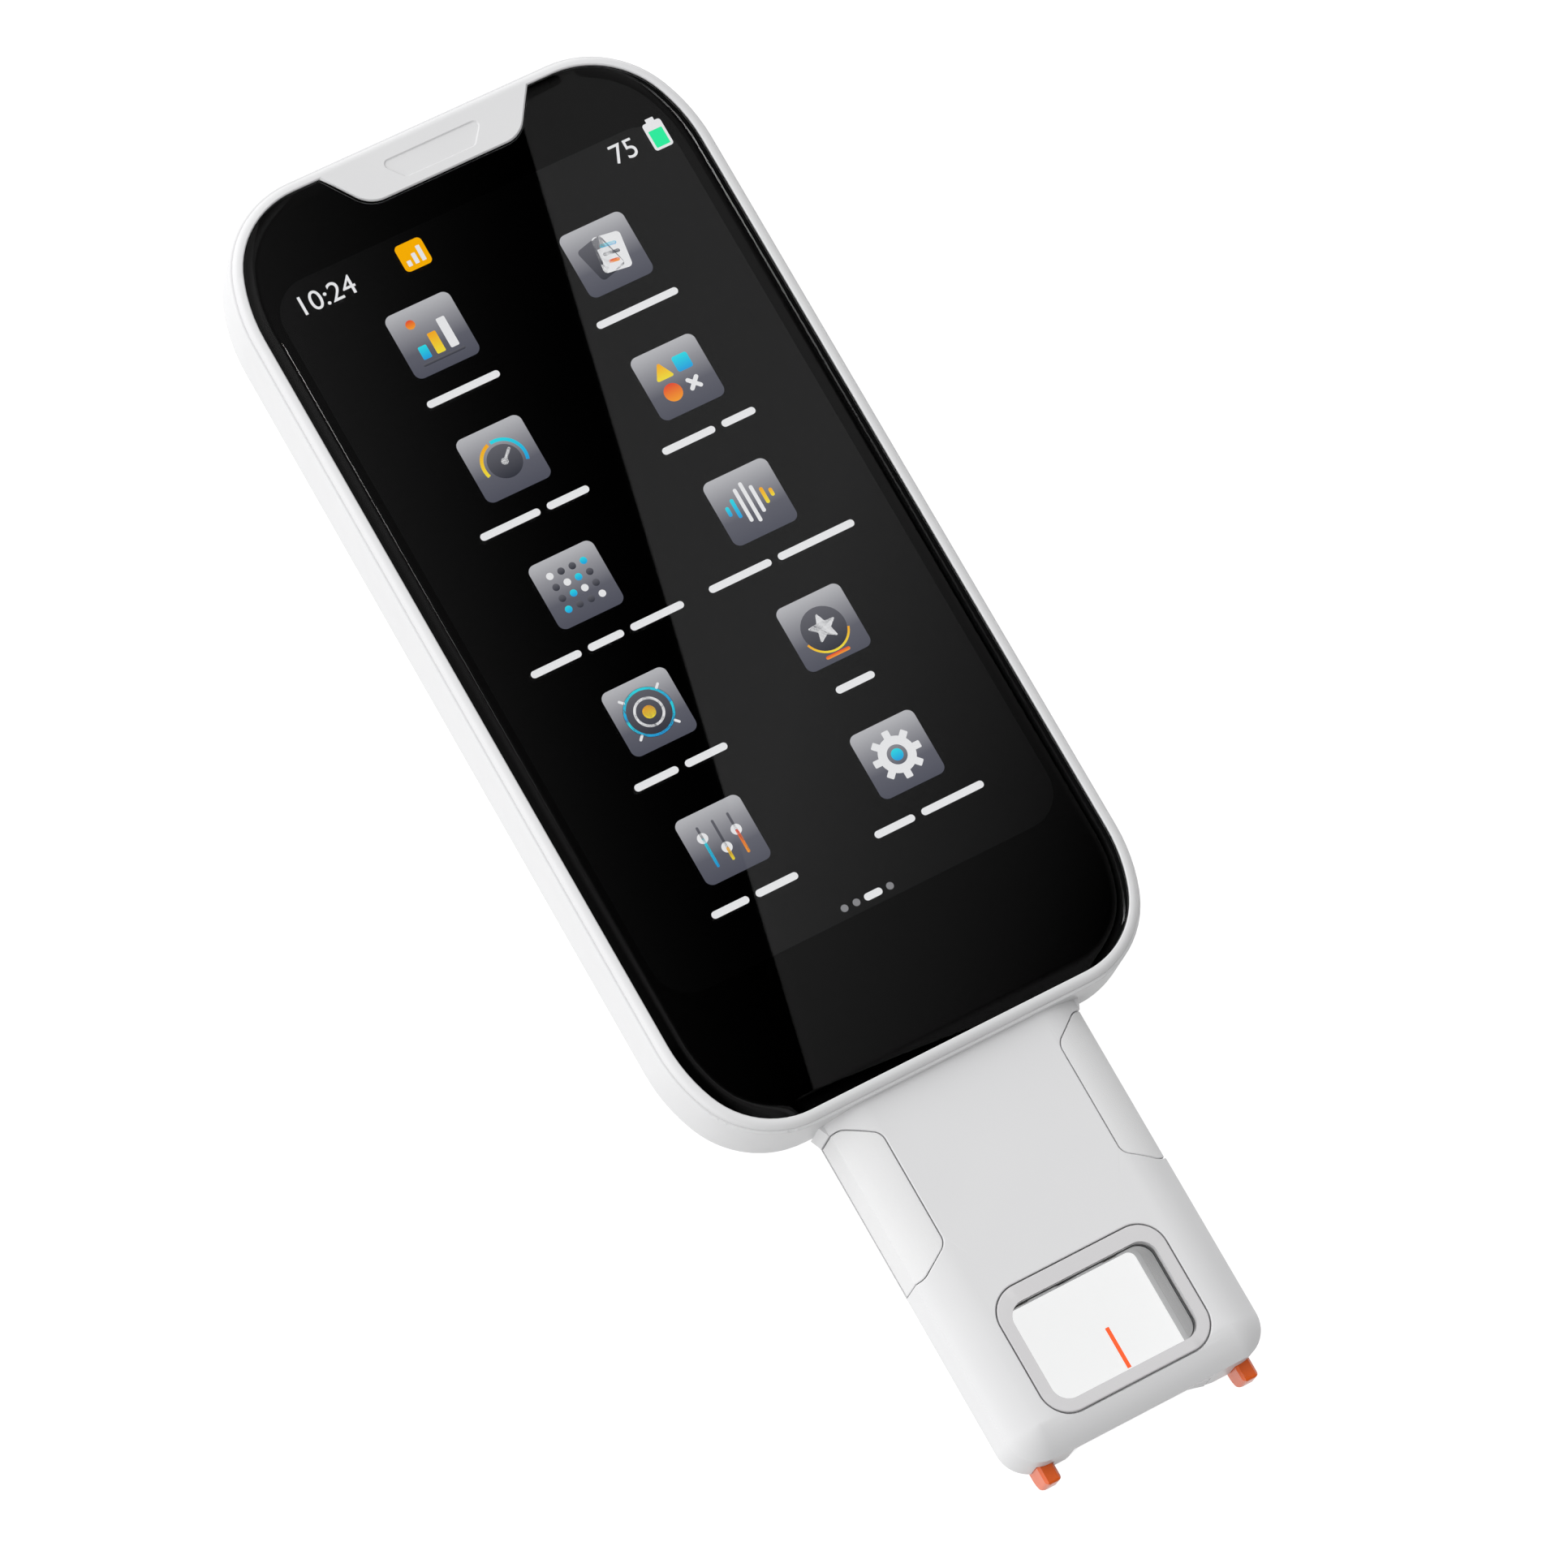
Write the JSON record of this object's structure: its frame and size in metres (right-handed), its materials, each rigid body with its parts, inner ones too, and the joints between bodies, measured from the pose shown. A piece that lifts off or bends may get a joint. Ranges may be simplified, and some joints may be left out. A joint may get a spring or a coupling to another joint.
{
  "type": "handheld scanning translator",
  "caption": "White handheld translator: a rounded touch screen body with a slim scanning head, sighting window, grey grip inlays and two orange trigger feet at its tip.",
  "frame": {"origin": "on the flat back, at the middle of the screen body", "axes": "+X to the reader's right, +Y from the scanning tip to the top of the screen, +Z out of the screen"},
  "size_m": [0.0584, 0.1643, 0.0105],
  "materials": {
    "white_shell": "satin white moulding",
    "white_key": "satin white key caps",
    "screen_glass": "polished cover glass",
    "clear_window": "polished clear window",
    "display_black": "black display module",
    "grip_inlay": "soft light grey inlay",
    "orange_plastic": "orange moulding and print",
    "smoked_window": "dark blue-black scan window",
    "light_rubber": "light rubber plugs",
    "steel": "nickel plated steel",
    "black_plastic": "black moulding",
    "circuit_board": "green solder mask",
    "battery_foil": "laminated pouch foil",
    "flat_cable": "amber polyimide cable",
    "lamp_plastic": "white lamp bodies"
  },
  "bodies": {
    "housing": {"rear_cover": "white_shell", "front_housing": "white_shell", "head_front_shell": "white_shell", "head_rear_shell": "white_shell", "window_bezel": "white_shell", "cover_glass": "screen_glass", "window_pane": "clear_window", "display_panel": "display_black", "screen_plate": "steel", "case_screws": "steel", "board_screws": "steel", "head_screws": "steel", "tongue_screws": "steel", "screw_plugs": "light_rubber", "main_board": "circuit_board", "head_board": "circuit_board", "board_shields": "steel", "battery": "battery_foil", "speaker": "black_plastic", "usb_port": "steel", "microphone": "steel", "side_switches": "black_plastic", "display_flex": "flat_cable", "head_flex": "flat_cable", "grip_left": "grip_inlay", "grip_right": "grip_inlay", "centre_mark": "orange_plastic", "scan_window": "smoked_window", "scan_camera": "black_plastic", "camera_lens": "clear_window", "scan_lamps": "lamp_plastic", "trigger_spring": "steel", "trigger_switch": "black_plastic"},
    "trigger": {"trigger_fork": "orange_plastic"},
    "power_key": {"power_button": "white_key"},
    "volume_key": {"volume_rocker": "white_key"}
  },
  "joints": [
    {"name": "trigger_press", "type": "slide", "parent": "housing", "child": "trigger", "axis": [0, 1, 0], "range_m": [0, 0.001], "stiffness_N_per_m": 1200, "springref_m": -0.001, "deforming": ["trigger_spring"]},
    {"name": "power_press", "type": "slide", "parent": "housing", "child": "power_key", "axis": [-1, 0, 0], "range_m": [0, 0.0003], "stiffness_N_per_m": 3000, "springref_m": -0.0003},
    {"name": "volume_rock", "type": "hinge", "parent": "housing", "child": "volume_key", "pos_m": [0.02675, 0.0222, 0.00545], "axis": [0, 0, 1], "range_deg": [-1.91, 1.91], "stiffness_Nm_per_rad": 0.12}
  ]
}
